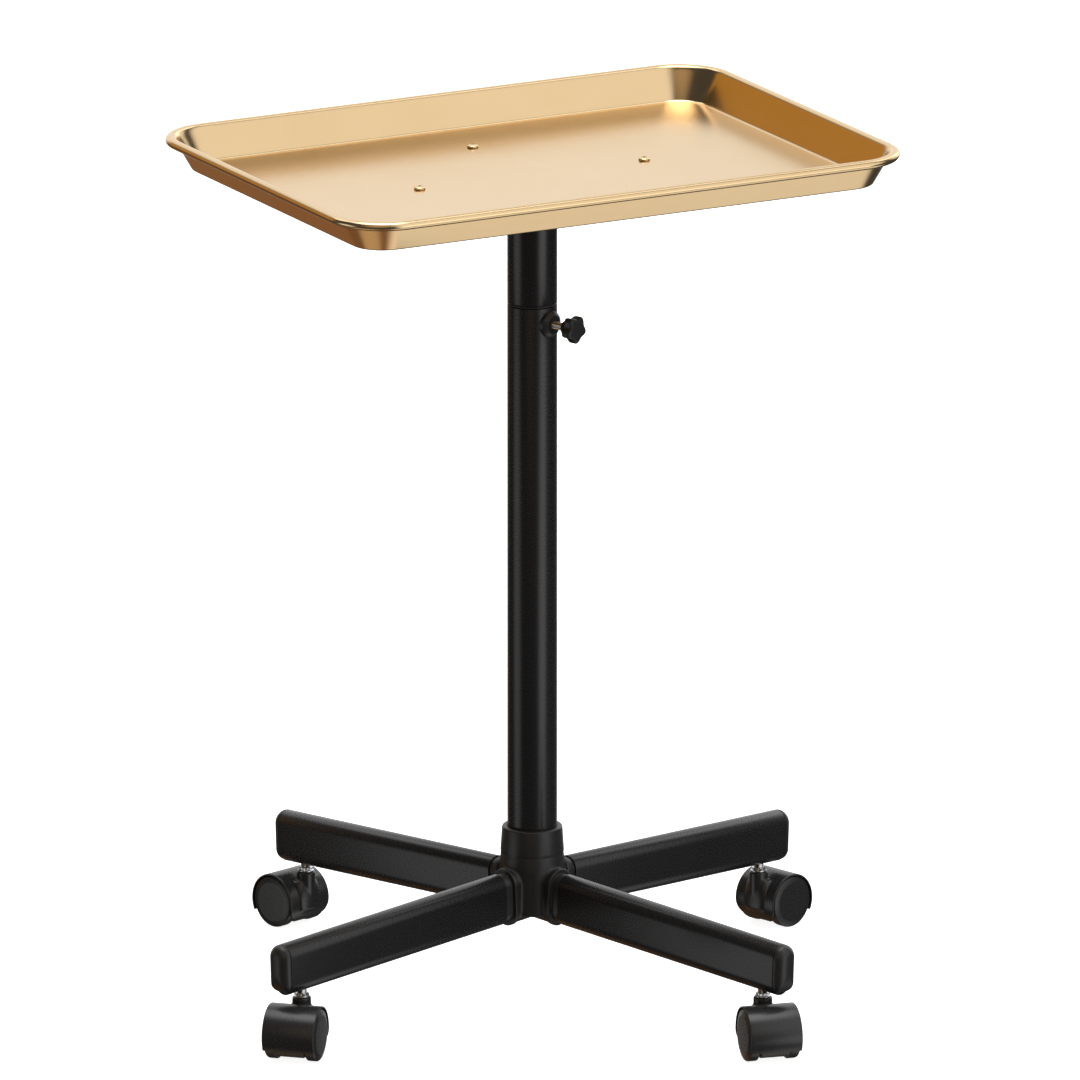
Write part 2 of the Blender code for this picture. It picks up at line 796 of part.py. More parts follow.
def build_cart():
    gold = material("satin_gold", (0.78, 0.52, 0.20), 0.35, 1.0)
    black = material("black_powder_coat", (0.012, 0.012, 0.013), 0.42)
    plastic = material("black_plastic", (0.014, 0.014, 0.015), 0.38)
    steel = material("zinc_steel", (0.62, 0.62, 0.60), 0.38, 1.0)
    chrome = material("bright_steel", (0.80, 0.80, 0.80), 0.15, 1.0)

    carrier = empty("mast_axis", Matrix.Identity(4))
    build_hub(plastic)
    build_column(black, plastic, steel)
    build_mast(carrier, black, plastic)
    build_tray_plate(carrier, black)
    build_tray(carrier, gold, steel)
    build_clamp(plastic, chrome)
    build_legs(black, plastic, steel, chrome)
    build_castors(plastic, steel)


clear_scene()
build_cart()
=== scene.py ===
"""The looks of the instrument cart: fine meshes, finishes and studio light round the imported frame.

Metres, +Z up, in the frame's own axes. Each piece here stands for one CAD node, rides on that
node's body and has its size and place. What can't be seen keeps its CAD mesh and gets a finish.
"""

import json
import math

import bmesh
import bpy
from mathutils import Matrix, Vector


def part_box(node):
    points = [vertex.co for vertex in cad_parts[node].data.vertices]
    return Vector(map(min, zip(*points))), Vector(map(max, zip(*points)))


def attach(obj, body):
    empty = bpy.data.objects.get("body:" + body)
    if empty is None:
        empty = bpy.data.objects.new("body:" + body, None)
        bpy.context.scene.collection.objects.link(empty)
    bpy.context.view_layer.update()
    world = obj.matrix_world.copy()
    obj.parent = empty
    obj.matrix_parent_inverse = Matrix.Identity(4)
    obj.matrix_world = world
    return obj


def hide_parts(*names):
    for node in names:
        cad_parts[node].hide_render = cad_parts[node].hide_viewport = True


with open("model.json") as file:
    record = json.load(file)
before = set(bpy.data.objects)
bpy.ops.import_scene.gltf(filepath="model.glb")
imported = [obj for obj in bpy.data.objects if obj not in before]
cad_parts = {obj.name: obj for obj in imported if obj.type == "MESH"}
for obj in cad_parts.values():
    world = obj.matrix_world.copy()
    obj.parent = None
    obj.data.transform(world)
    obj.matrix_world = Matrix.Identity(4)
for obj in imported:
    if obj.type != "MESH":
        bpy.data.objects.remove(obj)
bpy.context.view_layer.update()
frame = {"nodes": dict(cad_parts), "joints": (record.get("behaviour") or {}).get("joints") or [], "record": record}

# ---------------------------------------------------------------- sizes read from the frame
GAP = 0.0003  # between pieces that touch

joints = {joint["name"]: joint for joint in frame["joints"]}
tray_low, tray_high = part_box("tray")
column_low, column_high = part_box("column_tube")
mast_low, mast_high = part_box("mast_tube")
sleeve_low, sleeve_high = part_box("mast_sleeve")
bush_low, bush_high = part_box("column_bush")
plate_low, plate_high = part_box("tray_plate")
knob_axis = Vector(joints["knob_turn"]["axis"])
CLAMP_HEIGHT = joints["knob_turn"]["pos_m"][2]
STEM_REACH = Vector(joints["castor_swivel_1"]["pos_m"][:2]).length

COLUMN_RADIUS = column_high.x
MAST_RADIUS = mast_high.x
TRAY_LENGTH = tray_high.x - tray_low.x
TRAY_WIDTH = tray_high.y - tray_low.y
FLOOR_BOTTOM = tray_low.z
TRAY_DEPTH = tray_high.z - tray_low.z
PLATE_BOTTOM, PLATE_TOP = plate_low.z, plate_high.z
HUB_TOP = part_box("base_hub")[1].z

# ---------------------------------------------------------------- sizes of the shapes
TUBE_WALL = 0.0015
COLUMN_BORE = COLUMN_RADIUS - TUBE_WALL
SLIDE_BORE = MAST_RADIUS + GAP

TRAY_INSET = 0.020
TRAY_SHEET = 0.0012
FLOOR_CORNER_RADIUS = 0.025
BEAD_HALF_WIDTH = 0.0044
BEAD_HALF_HEIGHT = 0.0035
BEND_RADIUS = 0.0032
SCREW_REACH = 0.096
SCREW_HOLE = 0.00235

HUB_BOTTOM = 0.063
HUB_SHOULDER = 0.100
HUB_RADIUS = 0.0250
HUB_TOP_RADIUS = 0.0230
SOCKET_FLOOR = 0.082
BOLT_RADIUS = 0.004
BOLT_HEAD_RADIUS = 0.0065
BOLT_HEAD_HEIGHT = 0.0055
RECESS_TOP = HUB_BOTTOM + 0.008  # of the pocket for the bolt's head under the hub
STUB_END = 0.030
FLANGE_START = STUB_END - 0.0042

LEG_HEIGHT = 0.040
LEG_RADIUS = 0.010
LEG_FLAT = LEG_HEIGHT / 2 - LEG_RADIUS
LEG_AXIS_HEIGHT = 0.0795
LEG_FALL = math.radians(2.27)
TUBE_START = 0.037
TUBE_END = 0.266
LEG_TIP = 0.274
LEG_SCREW_REACH = 0.052
LEG_SCREW_RADIUS = 0.0024
BELOW_LEGS = 0.030  # where the cutters for holes in the legs' undersides start

CASTOR_TRAIL = 0.017
WHEEL_RADIUS = 0.020
WHEEL_INNER = 0.0119
WHEEL_OUTER = 0.0208
HOOD_BORE = 0.0206
HOOD_RADIUS = 0.0219
HOOD_HALF_WIDTH = 0.0203
HOOD_CORNER = 0.0060  # how far its last corners are cut in, and over what turn
HOOD_CORNER_TURN = math.radians(32)
HOOD_START = math.radians(-27)  # round the axle, from where the castor trails
HOOD_END = math.radians(212)
WEB_HALF_WIDTH = 0.0115
BOSS_TOP = 0.0443
BOSS_RADIUS = 0.0072
BOSS_BORE_END = 0.028
STEM_RADIUS = 0.004
STEM_HOLE = STEM_RADIUS + 0.0004
STEM_TOP = 0.074
AXLE_RADIUS = 0.0025

CLAMP_FACE = 0.0225
CLAMP_BOSS_RADIUS = 0.0102
CLAMP_SCREW_RADIUS = 0.003
KNOB_BACK = 0.0332
KNOB_FRONT = 0.0465
KNOB_BORE_END = KNOB_FRONT - 0.0035
KNOB_LOBES = 5

ROUND = 96  # sides of a column tube
SMALL_ROUND = 48  # sides of a screw or a stem
SMOOTH_ANGLE = math.radians(38)
DRIFT_SCALE = 14  # cells to a metre in a finish's slow change of colour

# ---------------------------------------------------------------- camera
CAMERA_TARGET = Vector((0, 0, 0.354))
CAMERA_DISTANCE = 18.0
CAMERA_AZIMUTH = math.radians(-28)
CAMERA_ELEVATION = math.radians(15)
CAMERA_LENS_MM = 791.4
CAMERA_SENSOR_MM = 36.0
CAMERA_SHIFT = 0.0072

# ---------------------------------------------------------------- light
BASE_LIGHT = 0.06  # what gloss sees where no panel is
WHITE = (1, 1, 1)
WARM = (1, 0.72, 0.42)
BROWN = (1, 0.48, 0)
RUST = (1, 0.36, 0)
PANELS = [  # direction, degrees from it where the fade starts and ends, strength, colour
    ((0.45, -0.73, 0.48), 20, 42, 0.95, WHITE),  # high in front, to the right
    ((0.45, 0.85, 0.26), 24, 48, 0.95, WHITE),  # behind, to the right
    ((0.45, -0.33, -0.81), 12, 30, 0.85, WHITE),  # up from the floor in front
    ((0, 0.05, 1), 12, 33, 3.6, WHITE),  # overhead
    ((-0.20, 0.64, 0.74), 6, 16, 1.6, WHITE),  # high behind, to the left
    ((0.65, 0.20, 0.74), 6, 16, 1.6, WHITE),  # high on the right
    ((0.88, 0.36, 0.30), 14, 25, 0.85, WHITE),  # on the right
    ((-0.55, -0.72, 0.38), 6, 34, 0.42, WARM),  # round the camera
    ((-0.25, 0.52, -0.82), 4, 22, 0.15, RUST),  # up from the floor behind
    ((0.06, -0.15, -0.98), 4, 20, 0.18, RUST),  # straight up from the floor
    ((0.33, -0.91, -0.26), 4, 24, 1.5, WHITE),  # low in front, right of the camera
    ((-0.95, 0.20, -0.26), 4, 24, 0.9, WHITE),  # low on the left
    ((-0.09, 0.85, -0.51), 8, 17, 0.20, RUST),  # low behind
    ((-0.48, 0.85, 0.18), 9, 22, 0.41, BROWN),  # behind, to the left
    ((-0.35, 0.05, -0.94), 8, 22, 0.5, WARM),  # up from the floor on the left
]


# ---------------------------------------------------------------- finishes
def node(tree, kind, **settings):
    """A new shader node. A setting that names an input sets it, and any other is an attribute."""
    made = tree.nodes.new(kind)
    for name, value in settings.items():
        label = name.replace("_", " ").title()
        if label in made.inputs:
            made.inputs[label].default_value = value
        else:
            setattr(made, name, value)
    return made


def noise(tree, scale, stretch=(1, 1, 1)):
    """Noise in the piece's own coordinates, with this many cells to a metre."""
    place = node(tree, "ShaderNodeTexCoord")
    stretched = node(tree, "ShaderNodeMapping", scale=stretch)
    made = node(tree, "ShaderNodeTexNoise", scale=scale, detail=3)
    tree.links.new(place.outputs["Object"], stretched.inputs["Vector"])
    tree.links.new(stretched.outputs["Vector"], made.inputs["Vector"])
    return made.outputs["Fac"]


def spread(tree, value, low, high):
    """Maps the middle of a noise's range to low..high."""
    made = node(tree, "ShaderNodeMapRange")
    for name, number in (("From Min", 0.3), ("From Max", 0.7), ("To Min", low), ("To Max", high)):
        made.inputs[name].default_value = number
    tree.links.new(value, made.inputs["Value"])
    return made.outputs["Result"]


def finish(slot, dark, light, rough, grain, depth, metallic=0, stretch=(1, 1, 1)):
    """A finish whose colour and roughness drift a little, with a fine grain in relief.

    dark and light are the ends of its colour, and rough the ends of its roughness. grain is
    its cells to a metre and depth how far they stand out.
    """
    made = bpy.data.materials.new(slot)
    made.use_nodes = True
    tree = made.node_tree
    shader = tree.nodes["Principled BSDF"]
    shader.inputs["Metallic"].default_value = metallic

    drift = node(tree, "ShaderNodeMix", data_type="RGBA")
    ends = [socket for socket in drift.inputs if socket.type == "RGBA"]
    for socket, colour in zip(ends, (dark, light)):
        socket.default_value = (*colour, 1)
    tree.links.new(spread(tree, noise(tree, DRIFT_SCALE), 0.0, 1.0), drift.inputs[0])
    mixed = next(socket for socket in drift.outputs if socket.type == "RGBA")
    tree.links.new(mixed, shader.inputs["Base Color"])

    texture = noise(tree, grain, stretch)
    tree.links.new(spread(tree, texture, *rough), shader.inputs["Roughness"])
    relief = node(tree, "ShaderNodeBump", strength=0.5, distance=depth)
    tree.links.new(texture, relief.inputs["Height"])
    tree.links.new(relief.outputs["Normal"], shader.inputs["Normal"])
    return made


def make_finishes():
    """One finish for each of the record's material slots."""
    recipes = {
        "satin_gold": {
            "dark": (0.80, 0.58, 0.32),
            "light": (0.82, 0.60, 0.34),
            "rough": (0.17, 0.22),
            "metallic": 1,
            "grain": 2000,
            "depth": 0.000001,
        },
        "black_powder_coat": {
            "dark": (0.018, 0.018, 0.019),
            "light": (0.021, 0.021, 0.022),
            "rough": (0.24, 0.30),
            "grain": 1600,
            "depth": 0.000004,
        },
        "moulded_black": {
            "dark": (0.022, 0.022, 0.023),
            "light": (0.025, 0.025, 0.026),
            "rough": (0.34, 0.42),
            "grain": 900,
            "depth": 0.00001,
        },
        "castor_black": {
            "dark": (0.027, 0.027, 0.028),
            "light": (0.030, 0.030, 0.031),
            "rough": (0.24, 0.32),
            "grain": 2200,
            "depth": 0.00002,
        },
        "zinc_steel": {
            "dark": (0.55, 0.56, 0.56),
            "light": (0.68, 0.68, 0.66),
            "rough": (0.30, 0.42),
            "metallic": 1,
            "grain": 900,
            "depth": 0.00001,
            "stretch": (1, 1, 6),
        },
        "bright_steel": {
            "dark": (0.74, 0.75, 0.76),
            "light": (0.82, 0.82, 0.82),
            "rough": (0.10, 0.16),
            "metallic": 1,
            "grain": 700,
            "depth": 0.000004,
        },
    }
    return {slot: finish(slot, **recipe) for slot, recipe in recipes.items()}


finishes = make_finishes()


# ---------------------------------------------------------------- outlines
def rounded(corners, steps=5):
    """An open outline through (x, y, radius) corners, each turned in an arc of that radius."""
    outline = []
    for i, (x, y, radius) in enumerate(corners):
        here = Vector((x, y))
        if not radius:
            outline.append(here)
            continue
        back = (Vector(corners[i - 1][:2]) - here).normalized()
        on = (Vector(corners[(i + 1) % len(corners)][:2]) - here).normalized()
        half = back.angle(on) / 2
        centre = here + (back + on).normalized() * radius / math.sin(half)
        first = here + back * radius / math.tan(half) - centre
        last = here + on * radius / math.tan(half) - centre
        start = math.atan2(first.y, first.x)
        sweep = (math.atan2(last.y, last.x) - start + math.pi) % (2 * math.pi) - math.pi
        for k in range(steps + 1):
            angle = start + sweep * k / steps
            outline.append(centre + radius * Vector((math.cos(angle), math.sin(angle))))
    return outline


def arc(radius_x, radius_y, start, end, steps, centre=(0, 0)):
    """Points of an ellipse's arc, with its angles in degrees."""
    points = []
    for i in range(steps + 1):
        angle = math.radians(start + (end - start) * i / steps)
        points.append(
            Vector((centre[0] + radius_x * math.cos(angle), centre[1] + radius_y * math.sin(angle)))
        )
    return points


def circle(radius, height, steps):
    angles = (2 * math.pi * i / steps for i in range(steps))
    return [Vector((radius * math.cos(a), radius * math.sin(a), height)) for a in angles]


def turned(profile, steps=ROUND):
    """A circle round Z for each (radius, height) of the profile."""
    return [circle(radius, height, steps) for radius, height in profile]


def polygon(sides, across, height, steps=SMALL_ROUND):
    """A regular polygon with this half-width at its corners, as a loop of steps points."""
    share = math.pi / sides
    points = []
    for point in circle(1.0, 0.0, steps):
        angle = math.atan2(point.y, point.x) % (2 * share) - share
        reach = across * math.cos(share) / math.cos(angle)
        points.append(Vector((reach * point.x, reach * point.y, height)))
    return points


def rounded_rectangle(half_x, half_y, radius, height, steps=18):
    points = []
    for corner, (sign_x, sign_y) in enumerate(((1, 1), (-1, 1), (-1, -1), (1, -1))):
        centre = Vector((sign_x * (half_x - radius), sign_y * (half_y - radius), height))
        for i in range(steps + 1):
            angle = math.pi / 2 * (corner + i / steps)
            points.append(centre + radius * Vector((math.cos(angle), math.sin(angle), 0)))
    return points


def leg_point(reach, across, up):
    """A place in a leg's own frame: reach along its falling axis, across it, and up from it."""
    axis = Vector((math.cos(LEG_FALL), 0, -math.sin(LEG_FALL)))
    rise = Vector((math.sin(LEG_FALL), 0, math.cos(LEG_FALL)))
    return Vector((0, across, LEG_AXIS_HEIGHT)) + reach * axis + up * rise


def oval(grow, reach, steps=20):
    """A flat-oval section of a leg that stands out from the tube's outside by grow."""
    radius = LEG_RADIUS + grow
    points = []
    for middle, start in ((LEG_FLAT, 0), (-LEG_FLAT, math.pi)):
        for i in range(steps + 1):
            angle = start + math.pi * i / steps
            across, up = radius * math.cos(angle), middle + radius * math.sin(angle)
            points.append(leg_point(reach, across, up))
    return points


# ---------------------------------------------------------------- meshes
def skin(loops, ring=False):
    """A mesh over loops of equal point counts, closed into a ring or capped at both ends."""
    shape = bmesh.new()
    rows = [[shape.verts.new(point) for point in loop] for loop in loops]
    following = rows[1:] + rows[:1] if ring else rows[1:]
    for lower, upper in zip(rows, following):
        for i in range(len(lower)):
            j = (i + 1) % len(lower)
            shape.faces.new((lower[i], lower[j], upper[j], upper[i]))
    if not ring:
        shape.faces.new(rows[0])
        shape.faces.new(rows[-1])
    bmesh.ops.recalc_face_normals(shape, faces=shape.faces)
    return mesh_of(shape)


def mesh_of(shape):
    mesh = bpy.data.meshes.new("piece")
    shape.to_mesh(mesh)
    shape.free()
    return smoothed(mesh)


def smoothed(mesh):
    mesh.shade_smooth()
    mesh.set_sharp_from_angle(angle=SMOOTH_ANGLE)
    return mesh


def placed(mesh, matrix):
    mesh.transform(matrix)
    return mesh


def together(meshes):
    """Several meshes in one, without joining their solids."""
    shape = bmesh.new()
    for mesh in meshes:
        shape.from_mesh(mesh)
    return mesh_of(shape)


def helper(mesh):
    made = bpy.data.objects.new("helper", mesh)
    bpy.context.scene.collection.objects.link(made)
    return made


def evaluated(body):
    """A helper's mesh with its modifiers applied. The helper is removed."""
    graph = bpy.context.evaluated_depsgraph_get()
    result = bpy.data.meshes.new_from_object(body.evaluated_get(graph))
    bpy.data.objects.remove(body)
    return smoothed(result)


def combined(mesh, joined=(), cut=()):
    """The mesh with others joined to it and then others cut from it."""
    body = helper(mesh)
    others = []
    for operation, meshes in (("UNION", joined), ("DIFFERENCE", cut)):
        for other in meshes:
            others.append(helper(other))
            boolean = body.modifiers.new(operation, "BOOLEAN")
            boolean.operation = operation
            boolean.object = others[-1]
    result = evaluated(body)
    for other in others:
        bpy.data.objects.remove(other)
    return result


def melted(mesh, voxel, rounds):
    """Overlapping solids as one, with their meeting edges smoothed into fillets."""
    body = helper(mesh)
    remesh = body.modifiers.new("remesh", "REMESH")
    remesh.mode = "VOXEL"
    remesh.voxel_size = voxel
    relax = body.modifiers.new("relax", "SMOOTH")
    relax.factor = 0.5
    relax.iterations = rounds
    return evaluated(body)


def drill(radius, low, high, place=Vector((0, 0, 0)), steps=SMALL_ROUND):
    """An upright round rod, turned half a side so that no edge lies in a plane of symmetry."""
    rod = skin(turned([(radius, low), (radius, high)], steps))
    return placed(rod, Matrix.Translation(place) @ Matrix.Rotation(math.pi / steps, 4, "Z"))


def tube(outer, inner, low, high, edge=0.0003):
    """An upright tube with its outer edges broken."""
    profile = rounded(
        [(inner, low, 0), (outer, low, edge), (outer, high, edge), (inner, high, 0)], 3
    )
    return skin(turned(profile), ring=True)


# ---------------------------------------------------------------- pieces
body_of = {}
for body_name, members in frame["record"]["behaviour"]["bodies"].items():
    for member in members:
        body_of[member] = body_name


def show(mesh, cad_node, slot, matrix=None):
    """A piece that stands for a CAD node and rides on its body."""
    piece = bpy.data.objects.new(f"{cad_node}_fine", mesh)
    bpy.context.scene.collection.objects.link(piece)
    piece.matrix_world = matrix or Matrix.Identity(4)
    if not mesh.materials:
        mesh.materials.append(finishes[slot])
    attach(piece, body_of[cad_node])
    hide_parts(cad_node)
    return piece


def keep(cad_node, slot):
    """A CAD node that keeps its mesh and gets its finish."""
    kept = frame["nodes"][cad_node]
    kept.data.materials.clear()
    kept.data.materials.append(finishes[slot])


# ---------------------------------------------------------------- tray
def tray_section():
    """The tray's wall, from under the floor's edge, out over the rolled bead and back in."""
    bead = (TRAY_INSET - BEAD_HALF_WIDTH, TRAY_DEPTH - BEAD_HALF_HEIGHT)
    outside = arc(BEND_RADIUS, BEND_RADIUS, -90, -30, 8, (-0.0022, BEND_RADIUS))
    roll = arc(BEAD_HALF_WIDTH, BEAD_HALF_HEIGHT, -150, 150, 36, bead)
    hollow = [Vector((0.0106, 0.0229)), Vector((0.0100, 0.0212))]
    inner_bend = (-0.0034, TRAY_SHEET + BEND_RADIUS)
    inside = arc(BEND_RADIUS, BEND_RADIUS, -25, -90, 9, inner_bend)
    return outside + roll + hollow + inside


def tray_mesh():
    half_x, half_y = TRAY_LENGTH / 2 - TRAY_INSET, TRAY_WIDTH / 2 - TRAY_INSET
    loops = [
        rounded_rectangle(
            half_x + out, half_y + out, FLOOR_CORNER_RADIUS + out, FLOOR_BOTTOM + up
        )
        for out, up in tray_section()
    ]
    above, below = FLOOR_BOTTOM + 0.01, FLOOR_BOTTOM - 0.01
    holes = [drill(SCREW_HOLE, below, above, place) for place in screw_places()]
    return combined(skin(loops), cut=holes)


def screw_places():
    for i in range(4):
        angle = math.pi / 2 * i
        yield Vector((SCREW_REACH * math.cos(angle), SCREW_REACH * math.sin(angle), 0))


def tray_screw_mesh():
    """A low button head with a hexagon socket, on a shank that reaches through the nut."""
    seat = FLOOR_BOTTOM + TRAY_SHEET + GAP
    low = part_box("tray_screw_1")[0].z
    radius, edge, height = 0.0045, 0.0006, 0.0023
    socket, socket_depth = 0.0014, 0.0012
    shank = [(0.0016, low), (0.002, low + 0.0005), (0.002, seat)]
    dome = arc(radius, height - edge, 0, 68, 6, (0, seat + edge))
    loops = turned([*shank, (radius, seat), *dome], SMALL_ROUND)
    loops.append(polygon(6, socket, seat + height - 0.0001))
    loops.append(polygon(6, socket, seat + height - socket_depth))
    return skin(loops)


def hexagon_nut(outer, bore, low, high):
    """A nut with chamfered corners and a threaded bore's smooth stand-in."""
    chamfer = 0.0004
    flat = outer * math.cos(math.pi / 6)
    return skin(
        [
            circle(bore, high, SMALL_ROUND),
            circle(bore, low, SMALL_ROUND),
            circle(flat, low, SMALL_ROUND),
            polygon(6, outer, low + chamfer),
            polygon(6, outer, high - chamfer),
            circle(flat, high, SMALL_ROUND),
        ],
        ring=True,
    )


def tray_plate_mesh():
    """A cross of flat bars with round ends and a disc in the middle, its edges broken."""
    half_width, disc_radius, edge = 0.015, 0.032, 0.0005
    half_length = SCREW_REACH + half_width

    def slab(outline_at):
        low, high = (PLATE_BOTTOM, PLATE_BOTTOM + edge), (PLATE_TOP - edge, PLATE_TOP)
        levels = ((edge, low[0]), (0, low[1]), (0, high[0]), (edge, high[1]))
        return skin([outline_at(inset, height) for inset, height in levels])

    def bar(half_x, half_y):
        return slab(
            lambda inset, height: rounded_rectangle(
                half_x - inset, half_y - inset, (half_width - inset) * 0.998, height
            )
        )

    disc = slab(lambda inset, height: circle(disc_radius - inset, height, ROUND))
    above, below = PLATE_TOP + 0.01, PLATE_BOTTOM - 0.01
    holes = [drill(SCREW_HOLE, below, above, place) for place in screw_places()]
    bars = [bar(half_length, half_width), bar(half_width, half_length)]
    return combined(disc, bars, holes)


def make_tray():
    show(tray_mesh(), "tray", "satin_gold")
    show(tray_plate_mesh(), "tray_plate", "black_powder_coat")
    screw = tray_screw_mesh()
    nut_low, nut_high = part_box("tray_nut_1")
    nut = hexagon_nut(0.0040, SCREW_HOLE, nut_low.z, nut_high.z)
    for number, place in enumerate(screw_places(), 1):
        show(screw, f"tray_screw_{number}", "satin_gold", Matrix.Translation(place))
        show(nut, f"tray_nut_{number}", "zinc_steel", Matrix.Translation(place))


# ---------------------------------------------------------------- column, mast and clamp
def bush_mesh():
    """A sleeve inside the column with a convex flange on top of it."""
    body = COLUMN_BORE - GAP
    flange_low, flange_high = column_high.z + GAP, bush_high.z
    half = (flange_high - flange_low) / 2
    bulge = arc(0.0008, half, -90, 90, 12, (COLUMN_RADIUS - 0.0008, flange_low + half))
    profile = [
        (body, bush_low.z),
        (body, flange_low),
        *bulge,
        (SLIDE_BORE, flange_high),
        (SLIDE_BORE, bush_low.z),
    ]
    return skin(turned(profile), ring=True)


def clamp_frame():
    """Z along the clamp screw, outwards from the column's axis; X upwards."""
    turn = math.atan2(knob_axis.y, knob_axis.x)
    outwards = Matrix.Rotation(turn, 4, "Z") @ Matrix.Rotation(math.pi / 2, 4, "Y")
    return Matrix.Translation((0, 0, CLAMP_HEIGHT)) @ outwards


def clamp_boss_mesh():
    """A round boss on the column's side with a shallow cone for its face."""
    outer = CLAMP_BOSS_RADIUS
    profile = rounded(
        [
            (outer, 0.012, 0),
            (outer, CLAMP_FACE - 0.0026, 0.0012),
            (outer - 0.0030, CLAMP_FACE, 0.0010),
            (CLAMP_SCREW_RADIUS + 0.001, CLAMP_FACE, 0),
        ]
    )
    bore = drill(CLAMP_SCREW_RADIUS + GAP, 0.008, CLAMP_FACE + 0.01)
    saddle = placed(
        skin(turned([(COLUMN_RADIUS + GAP, -0.03), (COLUMN_RADIUS + GAP, 0.03)])),
        clamp_frame().inverted() @ Matrix.Translation((0, 0, CLAMP_HEIGHT)),
    )
    return combined(skin(turned(profile)), cut=[saddle, bore])


def knob_screw_mesh():
    """A rod with a fine thread cut round it."""
    radius, pitch, depth, edge = CLAMP_SCREW_RADIUS, 0.0008, 0.00022, 0.0006
    profile = [(radius - edge, COLUMN_RADIUS), (radius, COLUMN_RADIUS + edge)]
    height = COLUMN_RADIUS + edge + pitch / 2
    while height < KNOB_BACK - pitch:
        profile += [(radius, height), (radius - depth, height + pitch / 2)]
        height += pitch
    profile += [(radius, height), (radius, KNOB_BORE_END - GAP)]
    return skin(turned(profile, SMALL_ROUND))


def knob_head_mesh():
    """A star-shaped grip on a round neck, with a shallow ring round the middle of its face."""
    neck, head, lobe = 0.0068, 0.0095, 0.0014
    bore = CLAMP_SCREW_RADIUS + GAP
    ring, ring_depth, ring_width = 0.0058, 0.0004, 0.0003
    profile = rounded(
        [
            (bore, KNOB_BORE_END, 0),
            (bore, KNOB_BACK, 0),
            (0.0053, KNOB_BACK, 0.0005),
            (neck, KNOB_BACK + 0.0050, 0.0020),
            (head, KNOB_BACK + 0.0056, 0.0012),
            (head, KNOB_FRONT, 0.0021),
            (ring + ring_width, KNOB_FRONT, 0.0002),
            (ring, KNOB_FRONT - ring_depth, 0.0001),
            (ring - ring_width, KNOB_FRONT, 0.0002),
            (0.0010, KNOB_FRONT, 0),
        ],
        6,
    )
    loops = []
    for radius, height in profile:
        share = min(1.0, max(0.0, (radius - neck) / (head - neck)))
        loops.append(star(radius, lobe * share, height))
    return skin(loops)


def star(radius, lobe, height, steps=100):
    """A round outline with lobes that stand out by this much and fall back by as much."""
    points = []
    for i in range(steps):
        angle = 2 * math.pi * i / steps
        reach = radius + lobe * math.cos(KNOB_LOBES * angle)
        points.append(Vector((reach * math.cos(angle), reach * math.sin(angle), height)))
    return points


def make_column():
    column = tube(COLUMN_RADIUS, COLUMN_BORE, column_low.z, column_high.z)
    show(column, "column_tube", "black_powder_coat")
    show(bush_mesh(), "column_bush", "moulded_black")
    mast = tube(MAST_RADIUS, MAST_RADIUS - TUBE_WALL, mast_low.z, mast_high.z)
    show(mast, "mast_tube", "black_powder_coat")
    sleeve = tube(COLUMN_RADIUS, SLIDE_BORE, sleeve_low.z, sleeve_high.z)
    show(sleeve, "mast_sleeve", "black_powder_coat")
    show(clamp_boss_mesh(), "clamp_boss", "moulded_black", clamp_frame())
    show(knob_screw_mesh(), "knob_screw", "bright_steel", clamp_frame())
    show(knob_head_mesh(), "knob_head", "moulded_black", clamp_frame())
    keep("column_plug", "zinc_steel")
    keep("mast_glide", "moulded_black")
    keep("clamp_pad", "moulded_black")


# ---------------------------------------------------------------- hub
def castor_number(joint_name):
    return int(joint_name.rsplit("_", 1)[1])


def leg_frames():
    """For each leg, a matrix that turns its own frame to where its castor's stem stands."""
    found = {}
    for name, joint in joints.items():
        if name.startswith("castor_swivel"):
            x, y, _ = joint["pos_m"]
            found[castor_number(name)] = Matrix.Rotation(math.atan2(y, x), 4, "Z")
    return found


def hub_body():
    """The socket's lower part and the four stubs, melted together."""
    top = HUB_SHOULDER + 0.010
    profile = rounded(
        [
            (0.001, HUB_BOTTOM, 0),
            (HUB_RADIUS, HUB_BOTTOM, 0.002),
            (HUB_RADIUS, HUB_SHOULDER, 0.010),
            (socket_radius(top) - 0.0004, top, 0),
            (0.001, top, 0),
        ]
    )
    stubs = [
        placed(skin([oval(0.0015, 0.006), oval(0.0015, STUB_END - 0.002)]), turn)
        for turn in leg_frames().values()
    ]
    return melted(together([skin(turned(profile)), *stubs]), 0.0008, 14)


def socket_radius(height):
    """The socket's outside, which narrows a little from its shoulder to its mouth."""
    share = (height - HUB_SHOULDER) / (HUB_TOP - HUB_SHOULDER)
    return HUB_RADIUS + share * (HUB_TOP_RADIUS - HUB_RADIUS)


def hub_mouth():
    """The socket's upper part, with a rounded edge round its mouth."""
    low, edge = HUB_SHOULDER + 0.008, 0.0015
    profile = rounded(
        [
            (COLUMN_RADIUS - 0.002, low, 0),
            (socket_radius(low) - 0.0006, low, 0),
            (socket_radius(low + 0.003), low + 0.003, 0.010),
            (HUB_TOP_RADIUS, HUB_TOP, edge),
            (COLUMN_RADIUS - 0.002, HUB_TOP, 0),
        ],
        8,
    )
    return skin(turned(profile))


def hub_flange():
    """A stub's end flange, the neck beyond it and the tenon that enters the leg tube."""
    neck, tenon = 0.0010, 0.0019
    sections = rounded(
        [
            (FLANGE_START, -0.0020, 0),
            (FLANGE_START, 0.0024, 0.0007),
            (STUB_END, 0.0024, 0.0008),
            (STUB_END, -neck, 0.0006),
            (TUBE_START - GAP, -neck, 0.0003),
            (TUBE_START - GAP, -tenon, 0.0002),
            (TUBE_START + 0.030, -tenon, 0.0010),
            (TUBE_START + 0.030, -tenon - 0.003, 0),
        ],
        4,
    )
    return skin([oval(grow, reach) for reach, grow in sections])


